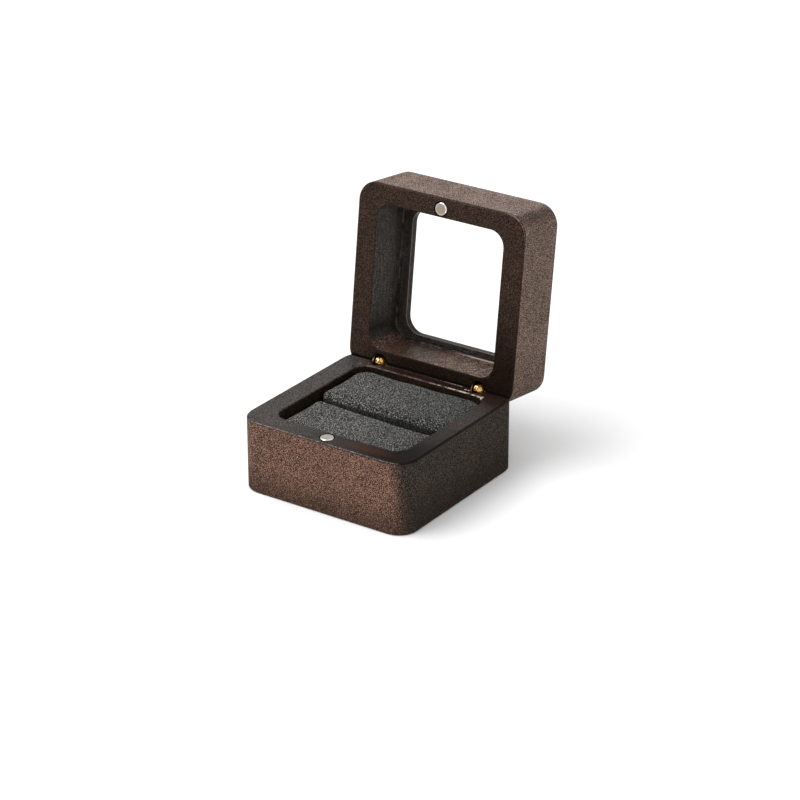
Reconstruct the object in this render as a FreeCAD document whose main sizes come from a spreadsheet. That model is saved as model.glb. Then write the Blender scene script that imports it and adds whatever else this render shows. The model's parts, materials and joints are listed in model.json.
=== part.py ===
"""Square wooden ring box with a hinged window lid, two suede pads and a magnet catch.

Millimetres. The origin is the centre of the underside, X is the width, +Y points to the
hinge side and +Z is up. The box stands open: the lid pieces are drawn closed, about the
hinge's pivot line, and their Placement turns them back by the opening angle.
"""
import FreeCAD, Part
import Sketcher
import math
import os

doc = FreeCAD.newDocument("RingBox")
XY, XZ, YZ = "XY_Plane", "XZ_Plane", "YZ_Plane"
SIDES = {"left": -1, "right": 1}
NEAR = 0.001    # lengths and volumes closer than this count as equal

# ---------------------------------------------------------------- driving sizes
SIZES = [
    # outer form
    ("width", 55), ("length", 55), ("base_height", 21.5), ("lid_height", 17.4),
    ("corner_radius", 6), ("arris", 0.45),
    ("overrun", 1),    # how far a cutting outline reaches past the block
    # pockets milled into base and lid
    ("left_wall", 7.3), ("right_wall", 5.6), ("front_wall", 6.15), ("rear_wall", 7),
    ("pocket_corner", 4.2), ("base_pocket_depth", 17.5), ("base_pocket_arris", 0.3),
    ("lid_side_wall", 6.6), ("lid_front_wall", 5.65), ("lid_rear_wall", 7),
    ("lid_pocket_corner", 4.6), ("lid_pocket_arris", 0.2),
    # window
    ("window_side_border", 9.2), ("window_end_border", 8.9), ("window_corner", 5),
    ("window_arris", 0.2),
    ("lip_thickness", 2.5), ("pane_thickness", 1.5), ("pane_clearance", 0.1),
    # hinge line
    ("open_angle", 97), ("bevel_relief", 0.5), ("rim_gap", 0.1), ("pivot_inset", 3.43),
    ("hinge_inset", 10.85), ("barrel_diameter", 4.5), ("barrel_length", 12),
    ("barrel_chamfer", 0.4), ("bore_clearance", 0.05), ("ball_relief", 0.05),
    ("groove_depth", 0.2), ("groove_width", 1.2), ("groove_from_end", 3),
    ("fork_slot", 1.6), ("fork_slot_depth", 2.1), ("tongue_clearance", 0.1), ("tongue_width", 3),
    ("shoulder_relief", 0.1), ("pin_diameter", 1), ("pin_clearance", 0.05), ("pin_recess", 0.25),
    # magnets
    ("magnet_inset", 3.3), ("magnet_diameter", 4), ("magnet_thickness", 3),
    ("magnet_chamfer", 0.3), ("magnet_clearance", 0.05),
    # insert
    ("board_thickness", 1.5), ("insert_clearance", 0.2), ("cover_thickness", 0.8),
    ("slot_width", 1.65), ("slot_shift", 0.05), ("front_pad_sink", 3.3), ("rear_pad_sink", 1.2),
    ("pad_bevel", 0.8), ("pad_slot_corner", 2),
]

# sizes that follow from the driving ones
DERIVED = [
    ("pocket_width", "=width - left_wall - right_wall"),
    ("pocket_left", "=width / 2 - left_wall"),
    ("pocket_length", "=length - front_wall - rear_wall"),
    ("pocket_front", "=length / 2 - front_wall"),
    ("lid_pocket_width", "=width - 2 * lid_side_wall"),
    ("lid_pocket_length", "=length - lid_front_wall - lid_rear_wall"),
    ("lid_pocket_front", "=length / 2 - lid_front_wall + pivot_y"),
    ("window_width", "=width - 2 * window_side_border"),
    ("window_length", "=length - 2 * window_end_border"),
    ("pivot_y", "=length / 2 - pivot_inset"),
    ("pivot_z", "=base_height + rim_gap / 2"),
    ("hinge_x", "=width / 2 - hinge_inset"),
    ("bevel_angle", "=open_angle / 2 + bevel_relief"),
    ("bevel_drop", "=pivot_inset * tan(bevel_angle * 1deg)"),
    ("bore_radius", "=barrel_diameter / 2 + bore_clearance"),
    ("bore_depth", "=barrel_length + bore_clearance"),
    ("ball_radius", "=barrel_diameter / 2 - ball_relief"),
    ("tongue_thickness", "=fork_slot - 2 * tongue_clearance"),
    ("shoulder", "=barrel_diameter / 2 * tan(bevel_angle * 1deg) + shoulder_relief"),
    ("pin_length", "=2 * (ball_radius - pin_recess)"),
    ("magnet_y", "=length / 2 - magnet_inset"),
    ("floor_thickness", "=base_height - base_pocket_depth"),
    ("pad_bottom", "=floor_thickness + board_thickness"),
    ("pad_width", "=pocket_width - 2 * insert_clearance"),
    ("pad_left", "=pocket_left - insert_clearance"),
    ("pad_wall_corner", "=pocket_corner - insert_clearance"),
    ("slot_middle", "=pocket_length / 2 - pocket_front + slot_shift"),
    ("front_pad_front", "=pocket_front - insert_clearance"),
    ("front_pad_length", "=front_pad_front + slot_middle - slot_width / 2"),
    ("front_pad_height", "=base_height - front_pad_sink - pad_bottom"),
    ("rear_pad_front", "=-slot_middle - slot_width / 2"),
    ("rear_pad_length", "=pocket_length - pocket_front - insert_clearance + rear_pad_front"),
    ("rear_pad_height", "=base_height - rear_pad_sink - pad_bottom"),
]

NAMES = {alias for alias, value in SIZES + DERIVED}

sheet = doc.addObject("Spreadsheet::Sheet", "Sizes")
for row, (alias, value) in enumerate(SIZES + DERIVED, start=1):
    sheet.set(f"A{row}", alias)
    sheet.set(f"B{row}", str(value))
    sheet.setAlias(f"B{row}", alias)
doc.recompute()


def size(alias):
    """A cell's present value as a plain number."""
    return float(sheet.get(alias))


def cells(expression):
    """An expression on bare aliases, written out for another object of the document."""
    words = []
    for word in expression.split():
        words.append(f"Sizes.{word}" if word in NAMES else word)
    return " ".join(words)


def bind(thing, settings):
    """Tie properties of a document object to cells of the sheet."""
    for name, expression in settings.items():
        thing.setExpression(name, cells(expression))


# ---------------------------------------------------------------- drawing helpers
def new_body(label):
    body = doc.addObject("PartDesign::Body", label)
    body.Label = label
    return body


def sketch_on(body, role, name, lift=None):
    """A sketch on one of the body's own origin planes, lifted off it by an expression."""
    plane = [item for item in body.Origin.OriginFeatures if item.Role == role][0]
    sketch = body.newObject("Sketcher::SketchObject", name)
    sketch.AttachmentSupport = [(plane, "")]
    sketch.MapMode = "FlatFace"
    if lift:
        bind(sketch, {"AttachmentOffset.Base.z": lift})
        doc.recompute()
    return sketch


def dimension(sketch, kind, parts, name, expression):
    """A named dimension whose value comes from the sheet."""
    value = sketch.evalExpression(cells(expression))
    index = sketch.addConstraint(Sketcher.Constraint(kind, *parts, float(value)))
    sketch.renameConstraint(index, name)
    bind(sketch, {f"Constraints.{name}": expression})


def rounded_rectangle(sketch, width, length, front, corner, left=None):
    """Rounded rectangle, its front edge `front` before X, its left edge `left` beside Y.

    Without a left distance it is centred on the sketch's Y axis."""
    left = left or f"( {width} ) / 2"
    w, l, f, r, a = (float(sketch.evalExpression(cells(e)))
                     for e in (width, length, front, corner, left))
    xs = (-a, w - a)
    ys = (-f, l - f)
    vector = FreeCAD.Vector
    ends = [((xs[0] + r, ys[0]), (xs[1] - r, ys[0])), ((xs[1], ys[0] + r), (xs[1], ys[1] - r)),
            ((xs[1] - r, ys[1]), (xs[0] + r, ys[1])), ((xs[0], ys[1] - r), (xs[0], ys[0] + r))]
    for start, end in ends:
        sketch.addGeometry(Part.LineSegment(vector(*start, 0), vector(*end, 0)))
    centres = [(xs[1] - r, ys[0] + r), (xs[1] - r, ys[1] - r),
               (xs[0] + r, ys[1] - r), (xs[0] + r, ys[0] + r)]
    for turn, centre in enumerate(centres, start=-1):
        circle = Part.Circle(vector(*centre, 0), vector(0, 0, 1), r)
        sketch.addGeometry(Part.ArcOfCircle(circle, turn * math.pi / 2, (turn + 1) * math.pi / 2))
    for line in range(4):
        arc = line + 4
        sketch.addConstraint(Sketcher.Constraint("Tangent", line, 2, arc, 1))
        sketch.addConstraint(Sketcher.Constraint("Tangent", arc, 2, (line + 1) % 4, 1))
        direction = "Horizontal" if line % 2 == 0 else "Vertical"
        sketch.addConstraint(Sketcher.Constraint(direction, line))
        if line:
            sketch.addConstraint(Sketcher.Constraint("Equal", 4, arc))
    dimension(sketch, "Radius", (4,), "corner", corner)
    dimension(sketch, "DistanceX", (3, 1, 1, 1), "width", width)
    dimension(sketch, "DistanceY", (0, 1, 2, 1), "length", length)
    dimension(sketch, "DistanceX", (3, 1, -1, 1), "left", left)
    dimension(sketch, "DistanceY", (0, 1, -1, 1), "front", front)


def circle(sketch, across, up, radius):
    """Circle whose centre and radius are expressions."""
    x, y, r = (float(sketch.evalExpression(cells(e))) for e in (across, up, radius))
    index = sketch.addGeometry(Part.Circle(FreeCAD.Vector(x, y, 0), FreeCAD.Vector(0, 0, 1), r))
    dimension(sketch, "Radius", (index,), f"radius_{index}", radius)
    dimension(sketch, "DistanceX", (-1, 1, index, 3), f"across_{index}", across)
    dimension(sketch, "DistanceY", (-1, 1, index, 3), f"up_{index}", up)
    return index


def outline(sketch, corners, arcs=None):
    """Closed outline through corners given as pairs of expressions.

    arcs names the sides that are quarter rounds, and the centre of each."""
    arcs = arcs or {}
    points = [tuple(float(sketch.evalExpression(cells(e))) for e in pair) for pair in corners]
    count = len(points)
    for side, (start, end) in enumerate(zip(points, points[1:] + points[:1])):
        a, b = (FreeCAD.Vector(*point, 0) for point in (start, end))
        if side in arcs:
            centre = FreeCAD.Vector(*(float(sketch.evalExpression(cells(e))) for e in arcs[side]), 0)
            ring = Part.Circle(centre, FreeCAD.Vector(0, 0, 1), (a - centre).Length)
            sketch.addGeometry(Part.ArcOfCircle(ring, ring.parameter(a), ring.parameter(b)))
        else:
            sketch.addGeometry(Part.LineSegment(a, b))
    for side in range(count):
        following = (side + 1) % count
        sketch.addConstraint(Sketcher.Constraint("Coincident", side, 2, following, 1))
        across, up = corners[side]
        dimension(sketch, "DistanceX", (-1, 1, side, 1), f"across_{side}", across)
        dimension(sketch, "DistanceY", (-1, 1, side, 1), f"up_{side}", up)
    for side, (across, up) in arcs.items():
        dimension(sketch, "DistanceX", (-1, 1, side, 3), f"centre_across_{side}", across)


def feature(body, kind, name, sketch, **settings):
    """A sketch-based feature; sizes given as text are expressions on the sheet."""
    item = body.newObject(f"PartDesign::{kind}", name)
    item.Profile = sketch
    for key, value in settings.items():
        if isinstance(value, str) and not key.startswith("Type"):
            bind(item, {key: value})
        else:
            setattr(item, key, value)
    sketch.Visibility = False
    doc.recompute()
    return item


def cut(body, name, sketch, kind="Pocket", **settings):
    """A Pocket or Groove that has to take material away."""
    before = body.Shape.Volume
    item = feature(body, kind, name, sketch, **settings)
    if not item.Shape.Volume < before - NEAR:
        raise RuntimeError(f"{body.Label}: {name} cuts nothing")
    return item


def edge_names(shape, chosen):
    return [f"Edge{number}" for number, edge in enumerate(shape.Edges, start=1) if chosen(edge)]


def at_height(z):
    """Chooses the edges that lie flat at a height."""
    return lambda edge: all(abs(vertex.Z - z) < NEAR for vertex in edge.Vertexes)


def upright(edge):
    ends = [vertex.Point for vertex in edge.Vertexes]
    return len(ends) == 2 and abs(ends[0].x - ends[1].x) + abs(ends[0].y - ends[1].y) < NEAR


def round_off(body, name, radius, chosen):
    """Round the chosen edges of the body as it stands."""
    base = body.Tip
    item = body.newObject("PartDesign::Fillet", name)
    item.Base = (base, edge_names(base.Shape, chosen))
    bind(item, {"Radius": radius})
    doc.recompute()


def ease(body, name, amount, chosen):
    """Take a small chamfer off the chosen edges of the body as it stands."""
    base = body.Tip
    item = body.newObject("PartDesign::Chamfer", name)
    item.Base = (base, edge_names(base.Shape, chosen))
    bind(item, {"Size": amount})
    doc.recompute()


def place(body, across="0", lid=False):
    """Seat a piece at the pivot line; a lid piece is also turned back to the open pose."""
    bind(body, {"Placement.Base.x": across, "Placement.Base.y": "pivot_y",
                "Placement.Base.z": "pivot_z"})
    if lid:
        body.Placement.Rotation = FreeCAD.Rotation(FreeCAD.Vector(-1, 0, 0), size("open_angle"))
        bind(body, {"Placement.Rotation.Angle": "open_angle * 1deg"})
    doc.recompute()


def within(width, length, front, left=None):
    """Chooses edges inside a pocket's outline or on it."""
    def chosen(edge):
        middle = edge.BoundBox.Center
        beside = size(left) if left else size(width) / 2
        return (-NEAR < middle.x + beside < size(width) + NEAR
                and -NEAR < middle.y + size(front) < size(length) + NEAR)
    return chosen


# ---------------------------------------------------------------- base and lid blocks
def make_base_block():
    body = new_body("base_block")
    block = sketch_on(body, XY, "BaseOutline")
    rounded_rectangle(block, "width", "length", "length / 2", "corner_radius")
    feature(body, "Pad", "BaseBlank", block, Length="base_height")
    ease(body, "BaseArris", "arris", lambda e: at_height(0)(e) or at_height(size("base_height"))(e))

    pocket = sketch_on(body, XY, "BasePocketOutline", lift="base_height")
    rounded_rectangle(pocket, "pocket_width", "pocket_length", "pocket_front", "pocket_corner",
                      "pocket_left")
    cut(body, "BasePocket", pocket, Length="base_pocket_depth")
    inside = within("pocket_width", "pocket_length", "pocket_front", "pocket_left")
    rim = at_height(size("base_height"))
    ease(body, "BasePocketArris", "base_pocket_arris", lambda e: rim(e) and inside(e))

    # The rear edge falls away from the pivot line and is the stop of the open lid.
    bevel = sketch_on(body, YZ, "BaseBevelSection")
    outline(bevel, [("pivot_y", "base_height"), ("length / 2 + overrun", "base_height + overrun"),
                    ("length / 2 + overrun",
                     "base_height - ( pivot_inset + overrun ) * bevel_drop / pivot_inset")])
    cut(body, "BaseBevel", bevel, Length="2 * width", Midplane=True)

    bores = sketch_on(body, XY, "BaseHingeBores", lift="base_height")
    for sign in SIDES.values():
        circle(bores, f"{sign} * hinge_x", "pivot_y", "bore_radius")
    cut(body, "BaseHingeBore", bores, Length="bore_depth")

    seat = sketch_on(body, XY, "BaseMagnetSeat", lift="base_height")
    circle(seat, "0", "-1 * magnet_y", "magnet_diameter / 2 + magnet_clearance")
    cut(body, "BaseMagnetBore", seat, Length="magnet_thickness")
    return body


def make_lid_frame():
    """Drawn closed, with the pivot line as its X axis and the rim half a gap above it."""
    body = new_body("lid_frame")
    block = sketch_on(body, XY, "LidOutline", lift="rim_gap / 2")
    rounded_rectangle(block, "width", "length", "length / 2 + pivot_y", "corner_radius")
    feature(body, "Pad", "LidBlank", block, Length="lid_height")
    rim_height = size("rim_gap") / 2
    rim, top = at_height(rim_height), at_height(rim_height + size("lid_height"))
    ease(body, "LidArris", "arris", lambda e: rim(e) or top(e))

    pocket = sketch_on(body, XY, "LidPocketOutline", lift="rim_gap / 2")
    rounded_rectangle(pocket, "lid_pocket_width", "lid_pocket_length", "lid_pocket_front",
                      "lid_pocket_corner")
    cut(body, "LidPocket", pocket, Length="lid_height - lip_thickness", Reversed=True)
    inside = within("lid_pocket_width", "lid_pocket_length", "lid_pocket_front")
    ease(body, "LidPocketArris", "lid_pocket_arris", lambda e: rim(e) and inside(e))

    window = sketch_on(body, XY, "WindowOutline", lift="rim_gap / 2")
    rounded_rectangle(window, "window_width", "window_length", "window_length / 2 + pivot_y",
                      "window_corner")
    cut(body, "Window", window, Length="2 * lid_height", Reversed=True)
    ease(body, "WindowArris", "window_arris", lambda e: top(e) and inside(e))

    bevel = sketch_on(body, YZ, "LidBevelSection")
    outline(bevel, [("0", "rim_gap / 2"),
                    ("pivot_inset + overrun",
                     "rim_gap / 2 + ( pivot_inset + overrun ) * bevel_drop / pivot_inset"),
                    ("pivot_inset + overrun", "rim_gap / 2 - overrun")])
    cut(body, "LidBevel", bevel, Length="2 * width", Midplane=True)

    bores = sketch_on(body, XY, "LidHingeBores", lift="rim_gap / 2")
    for sign in SIDES.values():
        circle(bores, f"{sign} * hinge_x", "0", "bore_radius")
    cut(body, "LidHingeBore", bores, Length="bore_depth", Reversed=True)

    seat = sketch_on(body, XY, "LidMagnetSeat", lift="rim_gap / 2")
    circle(seat, "0", "-1 * magnet_y - pivot_y", "magnet_diameter / 2 + magnet_clearance")
    cut(body, "LidMagnetBore", seat, Length="magnet_thickness", Reversed=True)
    place(body, lid=True)
    return body


def make_window_pane():
    """Clear sheet glued to the inside of the lid's lip."""
    body = new_body("window_pane")
    sheet_outline = sketch_on(body, XY, "PaneOutline",
                              lift="rim_gap / 2 + lid_height - lip_thickness - pane_thickness")
    rounded_rectangle(sheet_outline, "lid_pocket_width - 2 * pane_clearance",
                      "lid_pocket_length - 2 * pane_clearance",
                      "lid_pocket_front - pane_clearance", "lid_pocket_corner - pane_clearance")
    feature(body, "Pad", "Pane", sheet_outline, Length="pane_thickness")
    place(body, lid=True)
    return body


# ---------------------------------------------------------------- magnets
def make_magnet(label, lid):
    """Disc let in flush with the middle of the front rim."""
    body = new_body(label)
    if lid:
        disc = sketch_on(body, XY, "LidMagnetDisc", lift="rim_gap / 2")
        circle(disc, "0", "-1 * magnet_y - pivot_y", "magnet_diameter / 2")
    else:
        disc = sketch_on(body, XY, "BaseMagnetDisc", lift="base_height - magnet_thickness")
        circle(disc, "0", "-1 * magnet_y", "magnet_diameter / 2")
    feature(body, "Pad", "LidMagnetBlank" if lid else "BaseMagnetBlank", disc,
            Length="magnet_thickness")
    ease(body, "LidMagnetEdge" if lid else "BaseMagnetEdge", "magnet_chamfer",
         lambda edge: edge.Closed)
    if lid:
        place(body, lid=True)
    return body


# ---------------------------------------------------------------- hinges
def glue_groove(body, start):
    """Shallow groove round a barrel that holds the glue in its bore."""
    section = sketch_on(body, XZ, "GrooveSection")
    bottom, outside = "barrel_diameter / 2 - groove_depth", "barrel_diameter / 2 + groove_depth"
    outline(section, [(bottom, start), (outside, start), (outside, f"{start} + groove_width"),
                      (bottom, f"{start} + groove_width")])
    cut(body, "GlueGroove", section, kind="Groove", ReferenceAxis=(section, ["V_Axis"]), Angle=360)


def make_base_barrel(side):
    """Barrel in the base; its ball end stands over the rim and is slotted into a fork."""
    body = new_body(f"hinge_base_barrel_{side}")
    radius, end = "barrel_diameter / 2", "-1 * barrel_length - rim_gap / 2"
    section = sketch_on(body, XZ, "BarrelSection")
    outline(section, [("0", end), (f"{radius} - barrel_chamfer", end),
                      (radius, f"{end} + barrel_chamfer"), (radius, "0"),
                      ("ball_radius", "0"), ("0", "ball_radius")], arcs={4: ("0", "0")})
    feature(body, "Revolution", "Barrel", section, ReferenceAxis=(section, ["V_Axis"]), Angle=360)
    glue_groove(body, f"{end} + groove_from_end")

    slot = sketch_on(body, XZ, "ForkSlotSection")
    outline(slot, [("-1 * fork_slot / 2", "-1 * fork_slot_depth"), ("fork_slot / 2", "-1 * fork_slot_depth"),
                   ("fork_slot / 2", "barrel_diameter"), ("-1 * fork_slot / 2", "barrel_diameter")])
    cut(body, "ForkSlot", slot, Length="2 * barrel_diameter", Midplane=True)

    hole = sketch_on(body, YZ, "ForkPinHole")
    circle(hole, "0", "0", "pin_diameter / 2")
    cut(body, "ForkBore", hole, Length="2 * barrel_diameter", Midplane=True)
    place(body, across=f"{SIDES[side]} * hinge_x")
    return body


def make_lid_barrel(side):
    """Barrel in the lid with a round-ended tongue that turns in the fork."""
    body = new_body(f"hinge_lid_barrel_{side}")
    radius, end = "barrel_diameter / 2", "barrel_length + rim_gap / 2"
    section = sketch_on(body, XZ, "BarrelSection")
    outline(section, [("0", "shoulder"), (radius, "shoulder"), (radius, f"{end} - barrel_chamfer"),
                      (f"{radius} - barrel_chamfer", end), ("0", end)])
    feature(body, "Revolution", "Barrel", section, ReferenceAxis=(section, ["V_Axis"]), Angle=360)
    glue_groove(body, f"{end} - groove_from_end - groove_width")

    tongue = sketch_on(body, YZ, "TongueSection")
    half = "tongue_width / 2"
    outline(tongue, [(f"-1 * {half}", "0"), ("0", f"-1 * {half}"), (half, "0"),
                     (half, "shoulder + barrel_chamfer"), (f"-1 * {half}", "shoulder + barrel_chamfer")],
            arcs={0: ("0", "0"), 1: ("0", "0")})
    feature(body, "Pad", "Tongue", tongue, Length="tongue_thickness", Midplane=True)

    hole = sketch_on(body, YZ, "TonguePinHole")
    circle(hole, "0", "0", "pin_diameter / 2 + pin_clearance")
    cut(body, "TongueBore", hole, Length="barrel_diameter", Midplane=True)
    place(body, across=f"{SIDES[side]} * hinge_x", lid=True)
    return body


def make_hinge_pin(side):
    """Pin held in the fork's cheeks, on the pivot line."""
    body = new_body(f"hinge_pin_{side}")
    section = sketch_on(body, YZ, "PinSection")
    circle(section, "0", "0", "pin_diameter / 2")
    feature(body, "Pad", "Pin", section, Length="pin_length", Midplane=True)
    place(body, across=f"{SIDES[side]} * hinge_x")
    return body


# ---------------------------------------------------------------- insert
def make_insert_board():
    """Stiff board at the bottom of the pocket that carries the pads."""
    body = new_body("insert_board")
    board = sketch_on(body, XY, "BoardOutline", lift="floor_thickness")
    rounded_rectangle(board, "pad_width", "pocket_length - 2 * insert_clearance",
                      "front_pad_front", "pad_wall_corner", "pad_left")
    feature(body, "Pad", "Board", board, Length="board_thickness")
    return body


def pad_block(body, which, inset):
    """Upholstered block of one pad: square blank, rounded corners, bevelled top edge.

    inset draws everything in, except the underside, by the cover's thickness or nothing."""
    tag = which.capitalize() + ("Cover" if inset == "0" else "Core")
    front = f"{which}_pad_front - {inset}"
    blank = sketch_on(body, XY, f"{tag}Outline", lift="pad_bottom")
    left, right = f"-1 * ( pad_left - {inset} )", f"pad_width - pad_left - {inset}"
    back = f"{which}_pad_length - {which}_pad_front - {inset}"
    outline(blank, [(left, f"-1 * ( {front} )"), (right, f"-1 * ( {front} )"),
                    (right, back), (left, back)])
    feature(body, "Pad", f"{tag}Blank", blank, Length=f"{which}_pad_height - {inset}")

    middle = body.Shape.BoundBox.Center.y
    to_wall = -1 if which == "front" else 1

    def side(edge):
        """Positive on the half that faces the pocket's wall, negative towards the slot."""
        return (edge.BoundBox.Center.y - middle) * to_wall

    round_off(body, f"{tag}WallCorners", f"pad_wall_corner - {inset}",
              lambda edge: upright(edge) and side(edge) > 0)
    round_off(body, f"{tag}SlotCorners", f"pad_slot_corner - {inset}",
              lambda edge: upright(edge) and side(edge) < 0)
    ease(body, f"{tag}TopBevel", f"pad_bevel - {inset} * ( 2 - sqrt(2) )",
         at_height(body.Shape.BoundBox.ZMax))


def make_pad_core(which):
    body = new_body(f"{which}_pad_core")
    pad_block(body, which, "cover_thickness")
    return body


def make_pad_cover(which):
    """Suede skin over the top and sides of a core, open underneath."""
    body = new_body(f"{which}_pad_cover")
    pad_block(body, which, "0")
    rounded = body.Tip
    below = size("pad_bottom")
    faces = [f"Face{number}" for number, face in enumerate(rounded.Shape.Faces, start=1)
             if face.BoundBox.ZMax < below + NEAR]
    before = rounded.Shape.Volume
    skin = body.newObject("PartDesign::Thickness", f"{which.capitalize()}Skin")
    skin.Base = (rounded, faces)
    skin.Reversed = True
    bind(skin, {"Value": "cover_thickness"})
    doc.recompute()
    if not skin.Shape.Volume < before - NEAR:
        raise RuntimeError(f"{body.Label}: the cover is not hollow")
    return body


# ---------------------------------------------------------------- assembly
def make_pieces():
    pieces = [make_base_block(), make_insert_board()]
    for which in ("front", "rear"):
        pieces += [make_pad_core(which), make_pad_cover(which)]
    pieces += [make_magnet("base_magnet", lid=False), make_lid_frame(), make_window_pane(),
               make_magnet("lid_magnet", lid=True)]
    for side in SIDES:
        pieces += [make_base_barrel(side), make_lid_barrel(side), make_hinge_pin(side)]
    return pieces


def check(pieces):
    """Stop before anything is written if a feature failed or a shape is not sound."""
    for item in doc.Objects:
        if {"Invalid", "Error"} & set(item.State):
            raise RuntimeError(f"{item.Label} failed: {item.State}")
    for piece in pieces:
        shape = piece.Shape
        if shape.isNull() or not shape.isValid() or len(shape.Solids) != 1:
            raise RuntimeError(f"{piece.Label} is not one sound solid")


pieces = make_pieces()
doc.recompute()
check(pieces)
os.makedirs("parts", exist_ok=True)
for piece in pieces:
    piece.Shape.exportStep(f"parts/{piece.Label}.step")
    box = piece.Shape.BoundBox
    print(f"{piece.Label:26s} {piece.Shape.Volume:10.2f} mm3  "
          f"x {box.XMin:7.2f} {box.XMax:7.2f}  y {box.YMin:7.2f} {box.YMax:7.2f}  "
          f"z {box.ZMin:7.2f} {box.ZMax:7.2f}")
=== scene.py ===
"""Looks of a dark wooden ring box: dyed wood, suede pads, brass hinges, magnets and a window.

Metres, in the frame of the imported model. Patterns on the wood are laid out in millimetres in the
closed box's own directions: X across, Y towards the hinges, Z up.
"""

import json
import math
from types import SimpleNamespace

import bmesh
import bpy
from mathutils import Matrix, Vector, noise


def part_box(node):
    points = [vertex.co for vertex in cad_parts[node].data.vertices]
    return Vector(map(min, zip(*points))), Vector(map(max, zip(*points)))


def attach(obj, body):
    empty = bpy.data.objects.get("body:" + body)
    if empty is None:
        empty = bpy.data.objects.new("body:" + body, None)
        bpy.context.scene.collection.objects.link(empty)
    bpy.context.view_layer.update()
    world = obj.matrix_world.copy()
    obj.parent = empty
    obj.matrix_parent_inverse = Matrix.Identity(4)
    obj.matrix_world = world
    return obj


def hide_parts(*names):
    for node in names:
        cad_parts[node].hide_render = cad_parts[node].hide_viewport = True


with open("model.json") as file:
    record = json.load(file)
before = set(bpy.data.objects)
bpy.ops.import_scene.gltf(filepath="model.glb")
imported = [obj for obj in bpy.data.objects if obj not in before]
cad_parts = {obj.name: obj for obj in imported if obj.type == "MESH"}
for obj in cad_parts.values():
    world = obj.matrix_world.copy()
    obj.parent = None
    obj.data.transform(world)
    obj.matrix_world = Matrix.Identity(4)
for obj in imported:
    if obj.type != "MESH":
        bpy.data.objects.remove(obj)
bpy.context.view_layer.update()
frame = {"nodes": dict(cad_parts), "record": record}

MM = 0.001


def middle_of(node):
    """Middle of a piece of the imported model, in millimetres."""
    low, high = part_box(node)
    return (low + high) / 2 / MM


hinge = frame["record"]["behaviour"]["joints"][0]
PIVOT = Vector(hinge["pos_m"])                   # the hinges' turning line
OPEN = -math.radians(hinge["range_deg"][1])      # how far the lid is turned about X from closed
RIM_GAP = 0.05 * MM                              # from the turning line up to the lid's rim

# millimetres, in the closed box
HINGE_X, HINGE_Y, _ = middle_of("hinge_pin_right")
MAGNET_Y = middle_of("base_magnet").y
HALF, _, BASE_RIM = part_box("base_block")[1] / MM    # half the width, height of the base's rim
CORNER = 6.0                                     # rounding of the upright corners
MEETING_LINE = 24.1                              # where the two bevelled rear edges meet
LID_TOP = 17.4                                   # height of the lid above its own rim
PANE_SEAT = 13.2                                 # where the pane's seat begins above that rim

WALL_SHADE = (0.012, 0.008, 0.006, 1)                  # painted shade darkening the walls
WHITE = (1, 1, 1, 1)


def lid_place():
    """Turns a point given from the middle of the closed lid's rim into its place when open."""
    return (Matrix.Translation(PIVOT) @ Matrix.Rotation(OPEN, 4, "X")
            @ Matrix.Translation(Vector((0, -PIVOT.y, RIM_GAP))))


# ------------------------------------------------------------------ camera
def set_camera():
    """Camera above and to the right of the box's front."""
    azimuth, elevation, roll = math.radians(34.636), math.radians(24.787), -0.00194
    aim, distance = Vector((-32.62, 57.38, -7.16)) * MM, 841.7 * MM
    back = Vector((math.sin(azimuth) * math.cos(elevation),
                   -math.cos(azimuth) * math.cos(elevation), math.sin(elevation)))
    right = Vector((math.cos(azimuth), math.sin(azimuth), 0))
    right = Matrix.Rotation(roll, 3, back) @ right
    up = back.cross(right)
    lens = bpy.data.cameras.new("camera")
    lens.sensor_width, lens.lens = 36, 126.64
    lens.clip_start, lens.clip_end = 0.01, 20
    camera = bpy.data.objects.new("camera", lens)
    camera.matrix_world = (Matrix.Translation(aim + back * distance)
                           @ Matrix((right, up, back)).transposed().to_4x4())
    bpy.context.scene.collection.objects.link(camera)
    bpy.context.scene.camera = camera


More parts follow.
